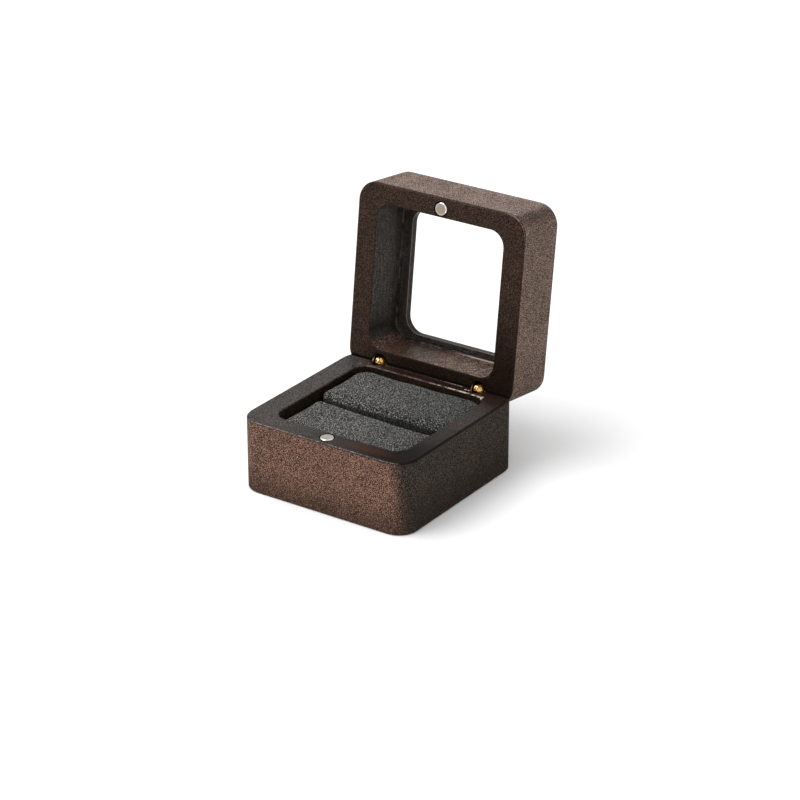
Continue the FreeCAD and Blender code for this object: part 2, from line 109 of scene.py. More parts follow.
# ------------------------------------------------------------------ laying out nodes
class Graph:
    """Lays nodes in one tree. Wherever a value is asked for, another node's output will do."""

    def __init__(self, tree):
        self.tree = tree
        tree.nodes.clear()

    def feed(self, socket, value):
        if isinstance(value, bpy.types.NodeSocket):
            self.tree.links.new(value, socket)
        else:
            socket.default_value = value

    def add(self, kind, inputs=None, **settings):
        node = self.tree.nodes.new(kind)
        for name, value in settings.items():
            setattr(node, name, value)
        for name, value in (inputs or {}).items():
            self.feed(node.inputs[name], value)
        return node

    def calc(self, operation, *values, clamp=False):
        node = self.add("ShaderNodeMath", operation=operation, use_clamp=clamp)
        for socket, value in zip(node.inputs, values):
            self.feed(socket, value)
        return node.outputs[0]

    def product(self, first, *others):
        for other in others:
            first = self.calc("MULTIPLY", first, other)
        return first

    def swing(self, noise_value, amount):
        """Noise turned into a swing to either side of 0."""
        return self.product(self.calc("SUBTRACT", noise_value, 0.5), amount)

    def distance(self, value, level):
        """How far a value is from a level."""
        return self.calc("ABSOLUTE", self.calc("SUBTRACT", value, level))

    def vector(self, operation, *values):
        node = self.add("ShaderNodeVectorMath", operation=operation)
        for socket, value in zip(node.inputs, values):
            self.feed(socket, value)
        return node.outputs["Value" if operation == "LENGTH" else "Vector"]

    def away(self, spot, point):
        """How far the spot is from a point."""
        return self.vector("LENGTH", self.vector("SUBTRACT", spot, point))

    def step(self, value, start, end, low=0.0, high=1.0):
        """Smooth step from low at start to high at end."""
        return self.add("ShaderNodeMapRange", {"Value": value, "From Min": start, "From Max": end,
                                               "To Min": low, "To Max": high},
                        interpolation_type="SMOOTHSTEP").outputs["Result"]

    def mix(self, factor, first, second, blend="MIX"):
        node = self.add("ShaderNodeMix", data_type="RGBA", blend_type=blend)
        for socket, value in zip((node.inputs[0], node.inputs[6], node.inputs[7]),
                                 (factor, first, second)):
            self.feed(socket, value)
        return node.outputs[2]

    def between(self, factor, first, second):
        """Mix of two numbers."""
        node = self.add("ShaderNodeMix", data_type="FLOAT")
        for socket, value in zip((node.inputs[0], node.inputs[2], node.inputs[3]),
                                 (factor, first, second)):
            self.feed(socket, value)
        return node.outputs[0]

    def shaded(self, colour, level):
        """The colour times a level."""
        grey = self.add("ShaderNodeCombineColor", {"Red": level, "Green": level, "Blue": level})
        return self.mix(1.0, colour, grey.outputs[0], "MULTIPLY")

    def noise(self, vector, scale, detail=2.0, roughness=0.5):
        return self.add("ShaderNodeTexNoise", {"Vector": vector, "Scale": scale, "Detail": detail,
                                               "Roughness": roughness}).outputs["Fac"]

    def fine_noise(self, vector, size):
        """Fine noise, turned off the box's own planes so that it is as strong on every face."""
        tilted = self.turned(vector, (0.6, 0.4, 0.9))
        return self.noise(tilted, self.calc("DIVIDE", 1.0, size), 0)

    def turned(self, vector, rotation):
        return self.add("ShaderNodeMapping", {"Vector": vector, "Rotation": rotation}).outputs[0]

    def split(self, vector):
        return self.add("ShaderNodeSeparateXYZ", {"Vector": vector}).outputs

    def use(self, effect, **values):
        """Places a shared effect; underscores in names stand for spaces."""
        node = self.add("ShaderNodeGroup", node_tree=effect)
        for name, value in values.items():
            self.feed(node.inputs[name.replace("_", " ")], value)
        return node.outputs


def effect(name, inputs, outputs):
    """A node group with named sockets; returns it with its graph, its entry and its exit."""
    tree = bpy.data.node_groups.new(name, "ShaderNodeTree")
    for socket, value in inputs.items():
        kind = {tuple: "Color", str: "Vector"}.get(type(value), "Float")
        made = tree.interface.new_socket(socket, in_out="INPUT", socket_type=f"NodeSocket{kind}")
        if kind != "Vector":
            made.default_value = value
    for socket, kind in outputs.items():
        tree.interface.new_socket(socket, in_out="OUTPUT", socket_type=f"NodeSocket{kind}")
    graph = Graph(tree)
    return tree, graph, graph.add("NodeGroupInput").outputs, graph.add("NodeGroupOutput").inputs


def material(name):
    """A new material: its graph, its Principled BSDF and its Texture Coordinate outputs."""
    made = bpy.data.materials.new(name)
    made.use_nodes = True
    graph = Graph(made.node_tree)
    shader = graph.add("ShaderNodeBsdfPrincipled")
    graph.feed(graph.add("ShaderNodeOutputMaterial").inputs["Surface"], shader.outputs[0])
    return made, graph, shader, graph.add("ShaderNodeTexCoord").outputs


def bump(graph, shader, height, distance, strength=1.0):
    relief = graph.add("ShaderNodeBump", {"Height": height, "Distance": distance,
                                          "Strength": strength})
    graph.feed(shader.inputs["Normal"], relief.outputs[0])


def in_millimetres(graph, place):
    spot = graph.add("ShaderNodeVectorMath", {0: place["Object"], "Scale": 1000.0},
                     operation="SCALE")
    return spot.outputs[0]


# ------------------------------------------------------------------ shared effects
def outline_effect():
    """Distance in from the rounded square outline of the box, in millimetres."""
    tree, graph, given, result = effect("outline_distance",
                                        {"Vector": "", "Half": HALF, "Corner": CORNER},
                                        {"Distance": "Float"})
    sides = graph.split(given["Vector"])[:2]
    reach = graph.calc("SUBTRACT", given["Half"], given["Corner"])
    past = [graph.calc("SUBTRACT", graph.calc("ABSOLUTE", side), reach) for side in sides]
    beyond = [graph.calc("MAXIMUM", side, 0.0) for side in past]
    inside = graph.calc("MINIMUM", graph.calc("MAXIMUM", *past), 0.0)
    corner = graph.calc("SQRT", graph.calc("ADD", graph.product(beyond[0], beyond[0]),
                                           graph.product(beyond[1], beyond[1])))
    graph.feed(result["Distance"],
               graph.calc("SUBTRACT", given["Corner"], graph.calc("ADD", corner, inside)))
    return tree


def wood_effect():
    """Close-grained dyed wood, its grain along X, in millimetres."""
    tree, graph, given, result = effect(
        "dyed_wood",
        {"Vector": "", "Ground": (0.17, 0.1, 0.077, 1), "Cloud": (0.1, 0.07, 0.06, 1),
         "Cloud Size": 9.0, "Speckle": 1.0, "Speckle Size": 0.21, "Grain": 1.0, "Pores": 1.0},
        {"Color": "Color", "Height": "Float"})
    spot = given["Vector"]
    cloud = graph.noise(spot, graph.calc("DIVIDE", 1.0, given["Cloud Size"]), 3, 0.55)
    colour = graph.mix(graph.step(cloud, 0.36, 0.66), given["Ground"], given["Cloud"])
    grain = graph.noise(graph.vector("MULTIPLY", spot, (0.1, 1, 1)), 1.5, 3, 0.6)
    dashes = graph.noise(graph.vector("MULTIPLY", spot, (0.5, 1, 1)), 4.5, 1, 0.5)
    pores = graph.step(dashes, 0.62, 0.76)
    speckle = graph.fine_noise(spot, given["Speckle Size"])
    lift = graph.calc("ADD", graph.swing(speckle, graph.product(given["Speckle"], 11.0)),
                      graph.swing(grain, graph.product(given["Grain"], 0.9)))
    level = graph.calc("SUBTRACT", graph.calc("ADD", 1.0, lift),
                       graph.product(pores, given["Pores"], 0.3))
    graph.feed(result["Color"], graph.shaded(colour, graph.calc("MAXIMUM", level, 0.12)))
    graph.feed(result["Height"], graph.calc("SUBTRACT", graph.product(speckle, 0.6), pores))
    return tree


def nap_effect():
    """Short suede nap: light and dark flecks over patches brushed different ways."""
    tree, graph, given, result = effect(
        "suede_nap", {"Vector": "", "Ground": (0.1, 0.1, 0.1, 1), "Fleck Size": 0.33,
                      "Flecks": 1.0, "Brushed": 1.0},
        {"Color": "Color", "Height": "Float"})
    fleck = graph.fine_noise(given["Vector"], given["Fleck Size"])
    patch = graph.noise(given["Vector"], 0.22, 2, 0.5)
    lift = graph.calc("ADD", graph.swing(fleck, graph.product(given["Flecks"], 17.0)),
                      graph.swing(patch, graph.product(given["Brushed"], 0.7)))
    level = graph.calc("MAXIMUM", graph.calc("ADD", 1.0, lift), 0.15)
    graph.feed(result["Color"], graph.shaded(given["Ground"], level))
    graph.feed(result["Height"], fleck)
    return tree


def metal_effect():
    """Handled metal: a film that dulls the polish in patches, over hairlines."""
    tree, graph, given, result = effect(
        "handled_metal", {"Vector": "", "Bright": (0.9, 0.7, 0.3, 1),
                          "Dull": (0.5, 0.35, 0.15, 1), "Film": 0.3, "Polish": 0.15},
        {"Color": "Color", "Roughness": "Float", "Height": "Float"})
    film = graph.step(graph.noise(given["Vector"], 1.1, 3, 0.6), 0.42, 0.62)
    hairline = graph.noise(graph.vector("MULTIPLY", given["Vector"], (12, 1.2, 1.2)), 2.0, 2, 0.6)
    amount = graph.product(film, given["Film"])
    graph.feed(result["Color"], graph.mix(amount, given["Bright"], given["Dull"]))
    rough = graph.calc("ADD", given["Polish"], graph.product(amount, 0.3))
    graph.feed(result["Roughness"],
               graph.calc("ADD", rough, graph.product(hairline, 0.06), clamp=True))
    graph.feed(result["Height"], hairline)
    return tree


OUTLINE, WOOD, NAP, METAL = outline_effect(), wood_effect(), nap_effect(), metal_effect()

WALNUT = {
    "base": {
        "front": dict(Ground=(0.107, 0.059, 0.0425, 1), Cloud=(0.093, 0.053, 0.039, 1),
                      Cloud_Size=8.0, Speckle=1.0),
        # the base's right side: partly its own darker dye, partly painted shade
        "end": dict(Ground=(0.0285, 0.0235, 0.019, 1), Cloud=(0.035, 0.0265, 0.0208, 1),
                    Cloud_Size=6.0, Speckle=0.8, Grain=0.3, Pores=0.6),
        "hollow": dict(Ground=(0.012, 0.008, 0.005, 1), Cloud=(0.018, 0.011, 0.007, 1),
                       Cloud_Size=5.0, Speckle=0.8)},
    "lid": {
        # lighter and greyer than the base's front: partly the lid's own tone, partly painted sheen
        "front": dict(Ground=(0.148, 0.112, 0.097, 1), Cloud=(0.12, 0.085, 0.072, 1),
                      Cloud_Size=6.0, Speckle=0.75, Grain=1.0),
        "end": dict(Ground=(0.126, 0.088, 0.071, 1), Cloud=(0.106, 0.073, 0.059, 1),
                    Cloud_Size=6.0, Speckle=0.75, Grain=0.4),
        "rim": dict(Ground=(0.0215, 0.013, 0.009, 1), Cloud=(0.0275, 0.0155, 0.0105, 1),
                    Cloud_Size=5.0, Speckle=1.0, Speckle_Size=0.19, Pores=0.5),
        "hollow": dict(Ground=(0.036, 0.025, 0.019, 1), Cloud=(0.024, 0.018, 0.014, 1),
                       Cloud_Size=5.0, Speckle=0.9)}}


def box_directions(graph, place, lid):
    """Position in millimetres and facing, both in the closed box's directions."""
    turn = (OPEN if lid else 0.0, 0.0, 0.0)
    centre = lid_place().to_translation() if lid else Vector()
    spot = graph.add("ShaderNodeMapping", {"Vector": place["Object"], "Location": centre,
                                           "Rotation": turn, "Scale": (MM, MM, MM)},
                     vector_type="TEXTURE").outputs[0]
    facing = graph.add("ShaderNodeMapping", {"Vector": place["Normal"], "Rotation": turn},
                       vector_type="TEXTURE").outputs[0]
    return spot, facing


# ------------------------------------------------------------------ wood
def base_rim(graph, at):
    """Rim of the base: grey with painted sheen on the left and at the right front, deep brown on
    the right, and deeper still beside the hinges with the lid's painted shadow.
    """
    # painted sheen: the rim greyer towards the left and paler grey at the right front
    sheen_reach = graph.calc("ADD", at.x, graph.product(at.wander, 6.0))
    rim_dye_sheen_and_shadow = graph.mix(graph.step(sheen_reach, -16.0, 12.0), (0.041, 0.035, 0.032, 1),
                      (0.018, 0.0145, 0.0125, 1))
    paler = graph.product(graph.step(at.x, 17.0, 22.0), graph.step(at.y, -6.0, 4.0, 0.0, 0.8))
    rim_dye_sheen_and_shadow = graph.mix(paler, rim_dye_sheen_and_shadow, (0.03, 0.0225, 0.019, 1))
    # painted shadow of the lid on the rear of the rim, towards the right
    rear = graph.product(graph.step(at.y, 8.0, 23.0), graph.step(at.x, -24.0, -6.0))
    rim_dye_sheen_and_shadow = graph.mix(rear, rim_dye_sheen_and_shadow, (0.0165, 0.0075, 0.005, 1))
    return graph.use(WOOD, Vector=graph.vector("MULTIPLY", at.spot, (0.8, 0.8, 1)), Ground=rim_dye_sheen_and_shadow,
                     Cloud=rim_dye_sheen_and_shadow, Speckle=0.6, Pores=0.4)


def lid_hollow(graph, at, plain):
    """Hollow of the lid, from its plain colour."""
    # the left wall: dusty, scratched along its length and darker at both ends
    scratch = graph.noise(graph.vector("MULTIPLY", at.spot, (1, 0.16, 1.6)), 1.6, 2)
    dusty = graph.mix(graph.step(scratch, 0.35, 0.65), (0.03, 0.0245, 0.02, 1),
                      (0.062, 0.053, 0.044, 1))
    for start, end, amount in ((0.0, 17.0, 0.6), (-8.0, -19.0, 0.35)):
        dusty = graph.mix(graph.step(at.y, start, end, 0.0, amount), dusty,
                          (0.013, 0.0085, 0.005, 1))
    dusty = graph.use(WOOD, Vector=at.spot, Ground=dusty, Cloud=dusty, Speckle=0.7,
                      Speckle_Size=0.23)["Color"]
    inside = graph.mix(graph.step(at.nx, 0.4, 0.8), plain, dusty)

    # the hinge wall: warm and streaked, paler towards the right
    streaks = graph.vector("MULTIPLY", graph.turned(at.spot, (0, 0.9, 0)), (0.4, 1, 1.4))
    brushed = graph.noise(streaks, 1.1, 2)
    warm = graph.mix(graph.step(at.x, -14.0, 8.0), (0.07, 0.043, 0.031, 1),
                     (0.285, 0.178, 0.13, 1))
    warm = graph.mix(graph.step(brushed, 0.58, 0.42, 0.0, 0.8), warm, (0.045, 0.026, 0.018, 1))
    warm = graph.use(WOOD, Vector=graph.vector("MULTIPLY", at.spot, (0.9, 1, 0.45)), Ground=warm,
                     Cloud=warm, Speckle=1.3)["Color"]
    inside = graph.mix(graph.step(at.ny, -0.4, -0.8), inside, warm)

    # the dark seat of the pane, and the lip round the window with its worn edges
    seat = graph.use(WOOD, Vector=at.spot, Ground=(0.013, 0.0095, 0.007, 1),
                     Cloud=(0.03, 0.0195, 0.014, 1), Cloud_Size=2.0, Speckle=1.0)
    inside = graph.mix(graph.step(at.z, PANE_SEAT, 13.5), inside, seat["Color"])
    lip = graph.mix(graph.step(at.z, 15.25, 15.4), (0.13, 0.11, 0.097, 1),
                    (0.03, 0.022, 0.018, 1))
    lip = graph.mix(graph.step(at.z, 17.05, 17.2), lip, (0.1, 0.085, 0.075, 1))
    return graph.mix(graph.step(at.z, 14.85, 14.95), inside, lip)


def shade_lid(graph, at, colour, walls):
    """Painted shade: rim darkest beside the hinges, walls darker at the hinges and in a band on one
    rounded corner.
    """
    # painted shade on the rim, deepest towards the hinges
    towards = graph.calc("ADD", at.y, graph.step(at.x, 15.0, 22.0, 0.0, 7.5))
    low = graph.product(graph.step(towards, 0.0, 27.5, 0.0, 0.72),
                        graph.step(at.inward, 8.0, 7.0), graph.step(at.x, -25.0, -5.0, 0.1, 1.0))
    colour = graph.mix(low, colour, (0.003, 0.0007, 0.0002, 1))
    # painted shade on the lid's sides near the hinges and along one rounded corner
    foot = graph.product(at.end_grain, graph.step(at.y, 8.0, 27.0, 0.0, 0.25))
    band = graph.product(graph.step(at.nx, 0.25, 0.5), graph.step(at.nx, 0.95, 0.7),
                         graph.step(at.y, -20.0, -23.0, 0.0, 0.45))
    return colour, graph.mix(graph.calc("ADD", foot, band), walls, WALL_SHADE)


def shade_base(graph, at, colour, walls):
    """Painted shade on the rim at the front right corner, a redder dyed patch to its left, and
    painted shade low on the walls.
    """
    # painted shade darkening the rim's front right corner
    corner = graph.step(graph.away(at.spot, (24, -24, BASE_RIM)), 18.0, 4.0, 0.0, 0.8)
    colour = graph.mix(corner, colour, (0.005, 0.0035, 0.0025, 1))
    patch = graph.vector("SUBTRACT", at.spot, (12.5, -24, BASE_RIM))
    reach = graph.vector("LENGTH", graph.vector("MULTIPLY", patch, (0.3, 1, 1)))
    dyed = graph.calc("ADD", reach, graph.product(at.wander, 2.5))
    colour = graph.mix(graph.step(dyed, 5.0, 1.6, 0.0, 0.6), colour, (0.05, 0.022, 0.0125, 1))
    # painted shade on the walls, darker towards the bottom
    low_shade = graph.between(at.end_grain, graph.step(at.z, 10.0, 0.0, 0.0, 0.55),
                         graph.step(at.z, 18.0, 2.0, 0.0, 0.5))
    return colour, graph.mix(low_shade, walls, WALL_SHADE)


def arris_highlight(graph, at, lid):
    """1 on the painted highlight line along the arris of the base's front or the lid's upper right
    corner, broken in patches.
    """
    line = graph.product(graph.step(at.below, 0.12, 0.2), graph.step(at.below, 0.42, 0.34),
                         graph.step(at.inward, 0.6, 0.5))
    if lid:
        where = graph.product(graph.step(at.y, -20.0, -23.0), graph.step(at.x, 20.0, 23.0))
    else:
        where = graph.step(at.y, -26.2, -26.9)
    patchy = graph.step(graph.noise(at.spot, 1.3, 3, 0.7), 0.42, 0.62, 0.1, 0.9)
    return graph.product(line, where, patchy)


def base_arris_shade_and_highlights(graph, at, colour):
    """Painted shade on the right arris, then broken painted highlight lines at the pocket's rear
    edge and the joint.
    """
    # painted shade: dark line on the right arris, turned away from the lamp
    shade = graph.product(graph.step(at.x, 26.4, 27.0, 0.0, 0.85),
                          graph.step(at.below, 0.7, 0.45), graph.step(at.inward, 0.55, 0.4))
    colour = graph.mix(shade, colour, (0.004, 0.003, 0.0025, 1))
    # painted highlights, broken in patches, at the pocket's rear edge and at the joint, whiter
    # towards the right
    back = graph.step(graph.calc("ADD", at.y, graph.step(at.x, 19.0, 22.0, 0.0, 1.6)), 18.9, 19.6)
    broken = graph.step(graph.noise(at.spot, 1.1, 3, 0.7), 0.36, 0.6)
    pocket = graph.product(graph.step(at.inward, 6.6, 6.75), graph.step(at.below, 0.3, 0.2),
                           graph.step(at.inward, 7.6, 7.4))
    joint = graph.product(graph.step(graph.distance(at.y, 23.35), 0.15, 0.05),
                          graph.step(at.below, 0.1, 0.05), graph.step(at.x, 12.5, 11.5))
    highlit = graph.product(back, broken, graph.calc("MAXIMUM", pocket, joint))
    pale = graph.mix(graph.step(at.x, 0.0, 13.0), (0.12, 0.077, 0.06, 1), (0.5, 0.43, 0.38, 1))
    return graph.mix(highlit, colour, pale)


def ring_round(graph, spot, points, start, end):
    """1 on the narrow dark joint round each let-in piece, whose centres are given."""
    nearest = graph.away(spot, points[0])
    for point in points[1:]:
        nearest = graph.calc("MINIMUM", nearest, graph.away(spot, point))
    return graph.step(nearest, end, start)


def dark_joints(graph, at, level):
    """1 round the magnets and hinge barrels, and where the two bevelled edges meet."""
    magnet = ring_round(graph, at.spot, [(0, MAGNET_Y, level)], 2.12, 2.35)
    hinges = ring_round(graph, at.spot, [(side * HINGE_X, HINGE_Y, level) for side in (-1, 1)],
                        2.4, 2.8)
    seam = graph.product(graph.step(graph.distance(at.y, MEETING_LINE), 0.75, 0.35),
                         graph.step(at.below, 1.6, 1.0), graph.step(at.inward, 0.3, 0.8))
    return graph.calc("MAXIMUM", graph.calc("MAXIMUM", magnet, hinges), seam)


def wood(name, lid):
    """Dyed wood: sprayed walls, dark satin rim whose dye runs over the arris, plain hollow."""
    made, graph, shader, place = material(name)
    spot, facing = box_directions(graph, place, lid)
    x, y, z = graph.split(spot)
    nx, ny = graph.split(facing)[:2]
    tones = WALNUT["lid" if lid else "base"]
    # the base's right side, turned from the lamp, is darker: partly its own dye, partly painted
    # shade; the lid's sides are alike
    turned = graph.calc("ABSOLUTE", nx) if lid else graph.calc(
        "ADD", nx, graph.product(graph.calc("SUBTRACT", z, 10.0), 0.02))
    at = SimpleNamespace(
        spot=spot, x=x, y=y, z=z, nx=nx, ny=ny,
        inward=graph.use(OUTLINE, Vector=spot)["Distance"],
        below=z if lid else graph.calc("SUBTRACT", BASE_RIM, z),    # depth under the rim
        wander=graph.noise(spot, 1.2, 2),
        end_grain=graph.step(turned, 0.25, 0.8 if lid else 0.92))

    front = graph.use(WOOD, Vector=spot, **tones["front"])
    end = graph.use(WOOD, Vector=spot, **tones["end"])
    walls = graph.mix(at.end_grain, front["Color"], end["Color"])
    rim = graph.use(WOOD, Vector=spot, **tones["rim"]) if lid else base_rim(graph, at)
    moved = graph.vector("ADD", spot, (40, 15, 9))    # gives the hollow a grain of its own
    inside = graph.use(WOOD, Vector=moved, **tones["hollow"])["Color"]
    if lid:
        inside = lid_hollow(graph, at, inside)
    sunk = graph.product(graph.step(at.below, 0.12, 0.3), graph.step(at.inward, 1.0, 2.0))
    colour = graph.mix(sunk, rim["Color"], inside)
    colour, walls = (shade_lid if lid else shade_base)(graph, at, colour, walls)

    past_arris = graph.calc("ADD", at.below, graph.swing(at.wander, 0.4))
    outer = graph.product(graph.step(at.inward, 0.6, 0.3), graph.step(past_arris, 0.4, 0.8))
    if lid:
        outer = graph.calc("MAXIMUM", outer, graph.step(z, LID_TOP - 0.4, LID_TOP - 0.1))
    colour = graph.mix(outer, colour, walls)
    # painted highlight along the arris
    colour = graph.mix(arris_highlight(graph, at, lid), colour, (0.21, 0.165, 0.15, 1))
    # painted shade and painted highlights on the base's arrises
    if not lid:
        colour = base_arris_shade_and_highlights(graph, at, colour)
    colour = graph.mix(dark_joints(graph, at, 0.0 if lid else BASE_RIM), colour,
                       (0.004, 0.003, 0.002, 1))

    graph.feed(shader.inputs["Base Color"], colour)
    rough = graph.step(outer, 0.0, 1.0, 0.36, 0.8)
    if lid:
        smooth = graph.product(graph.step(graph.noise(spot, 1.1, 2), 0.5, 0.62, 0.0, 0.3),
                               graph.step(z, PANE_SEAT, 13.5))
        rough = graph.calc("SUBTRACT", rough, smooth)
    graph.feed(shader.inputs["Roughness"], rough)
    shader.inputs["Specular IOR Level"].default_value = 0.05
    bump(graph, shader, graph.between(outer, rim["Height"], front["Height"]), 0.02 * MM, 0.5)
    return made


# ------------------------------------------------------------------ other finishes
def suede():
    """Suede, darker towards the right and on the rear pad, with painted shade on its upright sides.
    """
    made, graph, shader, place = material("grey_suede")
    spot = in_millimetres(graph, place)
    x, y = graph.split(spot)[:2]
    shaded = graph.calc("ADD", graph.step(x, -8.0, 20.0), graph.step(y, -3.0, 2.0, 0.0, 0.35))
    ground = graph.mix(graph.product(shaded, 0.5), (0.0445, 0.0437, 0.042, 1),
                       (0.0185, 0.0185, 0.018, 1))
    nap = graph.use(NAP, Vector=spot, Ground=ground)
    # painted shade on the upright sides, down in the slot
    upright = graph.step(graph.split(place["Normal"])[2], 0.0, 0.5, 0.65, 0.0)
    graph.feed(shader.inputs["Base Color"], graph.mix(upright, nap["Color"],
                                                      (0.003, 0.003, 0.003, 1)))
    shader.inputs["Roughness"].default_value = 0.95
    shader.inputs["Specular IOR Level"].default_value = 0.15
    shader.inputs["Sheen Weight"].default_value = 0.06
    shader.inputs["Sheen Roughness"].default_value = 0.5
    bump(graph, shader, nap["Height"], 0.12 * MM)
    return made


def brass():
    """Polished brass, dark in patches, partly tarnish and partly painted dark reflections, with
    painted shade where the fork meets the tongue.
    """
    made, graph, shader, place = material("polished_brass")
    spot = in_millimetres(graph, place)
    # dark film patches: partly tarnish, partly painted dark reflections of the room
    face = graph.use(METAL, Vector=spot, Bright=(0.8, 0.47, 0.17, 1), Dull=(0.1, 0.04, 0.012, 1),
                     Film=1.0, Polish=0.06)
    half_tongue = 0.75
    # painted shade in the gaps where the fork meets the tongue
    across = graph.distance(graph.calc("ABSOLUTE", graph.split(spot)[0]), HINGE_X)
    seam = graph.distance(across, half_tongue)
    graph.feed(shader.inputs["Base Color"], graph.mix(graph.step(seam, 0.28, 0.12), face["Color"],
                                                      (0.03, 0.014, 0.005, 1)))
    graph.feed(shader.inputs["Roughness"], face["Roughness"])
    shader.inputs["Metallic"].default_value = 1.0
    bump(graph, shader, face["Height"], 0.004 * MM, 0.4)
    return made


def magnet_plating(name, lid):
    """Nickel plating, bright on the rounded edge and duller over the flat face; the lid's magnet
    has a painted brownish reflection in its colour.
    """
    made, graph, shader, place = material(name)
    spot = box_directions(graph, place, lid)[0]
    # the lid magnet's brownish tone is a painted reflection
    bright = (0.3, 0.245, 0.2, 1) if lid else (0.42, 0.42, 0.39, 1)
    face = graph.use(METAL, Vector=spot, Bright=bright, Dull=(0.3, 0.24, 0.18, 1), Film=0.6,
                     Polish=0.3)
    edge = graph.step(graph.away(spot, (0, MAGNET_Y, 0.0 if lid else BASE_RIM)), 1.5, 1.75)
    graph.feed(shader.inputs["Base Color"], graph.mix(edge, face["Color"], (0.95, 0.93, 0.9, 1)))
    graph.feed(shader.inputs["Roughness"], graph.between(edge, face["Roughness"], 0.16))
    shader.inputs["Metallic"].default_value = 1.0
    bump(graph, shader, face["Height"], 0.004 * MM, 0.4)
    return made


def window_glass():
    """Clear pane, faintly smeared."""
    made, graph, shader, place = material("clear_pane")
    smear = graph.step(graph.noise(in_millimetres(graph, place), 0.12, 3, 0.6), 0.5, 0.75)
    graph.feed(shader.inputs["Roughness"], graph.product(smear, 0.02))
    graph.feed(shader.inputs["Base Color"], graph.mix(smear, (0.985, 0.99, 0.988, 1),
                                                      (0.97, 0.975, 0.973, 1)))
    shader.inputs["Transmission Weight"].default_value = 1.0
    shader.inputs["IOR"].default_value = 1.25    # keeps the room's reflection in the pane faint
    return made


def card():
    """Stiff grey board with faint fibres."""
    made, graph, shader, place = material("grey_card")
    spot = in_millimetres(graph, place)
    fibre = graph.noise(graph.vector("MULTIPLY", spot, (1, 0.35, 1)), 2.0, 3, 0.7)
    graph.feed(shader.inputs["Base Color"], graph.mix(graph.step(fibre, 0.35, 0.65),
                                                      (0.05, 0.05, 0.052, 1),
                                                      (0.085, 0.083, 0.08, 1)))
    shader.inputs["Roughness"].default_value = 0.9
    bump(graph, shader, fibre, 0.05 * MM)
    return made


# ------------------------------------------------------------------ shapes
def new_piece(name, mesh):
    piece = bpy.data.objects.new(name, mesh)
    bpy.context.scene.collection.objects.link(piece)
    return piece


def as_mesh(shape, name):
    """Turns the working shape into a mesh and frees it."""
    data = bpy.data.meshes.new(name)
    shape.to_mesh(data)
    shape.free()
    return data


def start_block(size, middle):
    """A working shape that begins as one block."""
    shape = bmesh.new()
    bmesh.ops.create_cube(shape, size=1)
    bmesh.ops.scale(shape, vec=size, verts=shape.verts)
    bmesh.ops.translate(shape, vec=middle, verts=shape.verts)
    return shape


def bevel(shape, edges, radius, segments):
    bmesh.ops.bevel(shape, geom=edges, offset=radius, affect="EDGES", segments=segments,
                    profile=0.5, material=-1)


def settled_mesh(piece):
    """A copy of the piece's mesh with its modifiers worked in."""
    bpy.context.view_layer.update()
    return bpy.data.meshes.new_from_object(
        piece.evaluated_get(bpy.context.evaluated_depsgraph_get()))


def clamped(value, low=0.0, high=1.0):
    return max(low, min(high, value))


# ------------------------------------------------------------------ suede pads
SLACK = 0.15 * MM    # how far a pad may press past its box, except over the slot


def foam_block(low, high, wall_side):
    """Block with wide corners on the wall's side, tight ones at the slot and a crisp top edge."""
    shape = start_block(high - low, (low + high) / 2)
    middle = (low.y + high.y) / 2

    def upright(edge):
        a, b = (corner.co for corner in edge.verts)
        return abs(a.z - b.z) > (high.z - low.z) / 2

    for side, radius in ((wall_side, 4.0 * MM), (-wall_side, 1.9 * MM)):
        bevel(shape, [edge for edge in shape.edges
                      if upright(edge) and (edge.verts[0].co.y - middle) * side > 0], radius, 6)
    bevel(shape, [edge for edge in shape.edges
                  if all(corner.co.z > high.z - 0.01 * MM for corner in edge.verts)], 0.6 * MM, 3)
    return as_mesh(shape, "foam")


def stuff(piece, low, cap):
    """Blow the piece up as cloth held at its underside; no point moves further than cap."""
    scale, last_frame = 20.0, 20    # the cloth is worked out at twenty times the size
    start = [corner.co.copy() for corner in piece.data.vertices]
    for corner in piece.data.vertices:
        corner.co *= scale
    held = piece.vertex_groups.new(name="held")
    held.add([corner.index for corner in piece.data.vertices
              if corner.co.z < (low.z + 7 * MM) * scale], 1.0, "REPLACE")
    cloth = piece.modifiers.new("cloth", "CLOTH")
    cloth.settings.vertex_group_mass = "held"
    cloth.settings.quality = 6
    cloth.settings.use_pressure = True
    cloth.settings.uniform_pressure_force = 2.0
    cloth.settings.effector_weights.gravity = 0.0
    cloth.point_cache.frame_start, cloth.point_cache.frame_end = 1, last_frame
    for moment in range(1, last_frame + 1):
        bpy.context.scene.frame_set(moment)
    blown = settled_mesh(piece)
    bpy.context.scene.frame_set(1)
    piece.modifiers.remove(cloth)
    for corner, before, after in zip(piece.data.vertices, start, blown.vertices):
        move = after.co / scale - before
        corner.co = before + move * min(1.0, cap / max(move.length, 1e-9))
    bpy.data.meshes.remove(blown)


def rounding(distance, radius):
    """Drop of a top surface whose edge is rounded to the radius, at a distance from the edge."""
    if distance >= radius:
        return 0.0
    return radius - math.sqrt(radius * radius - (radius - distance) ** 2)


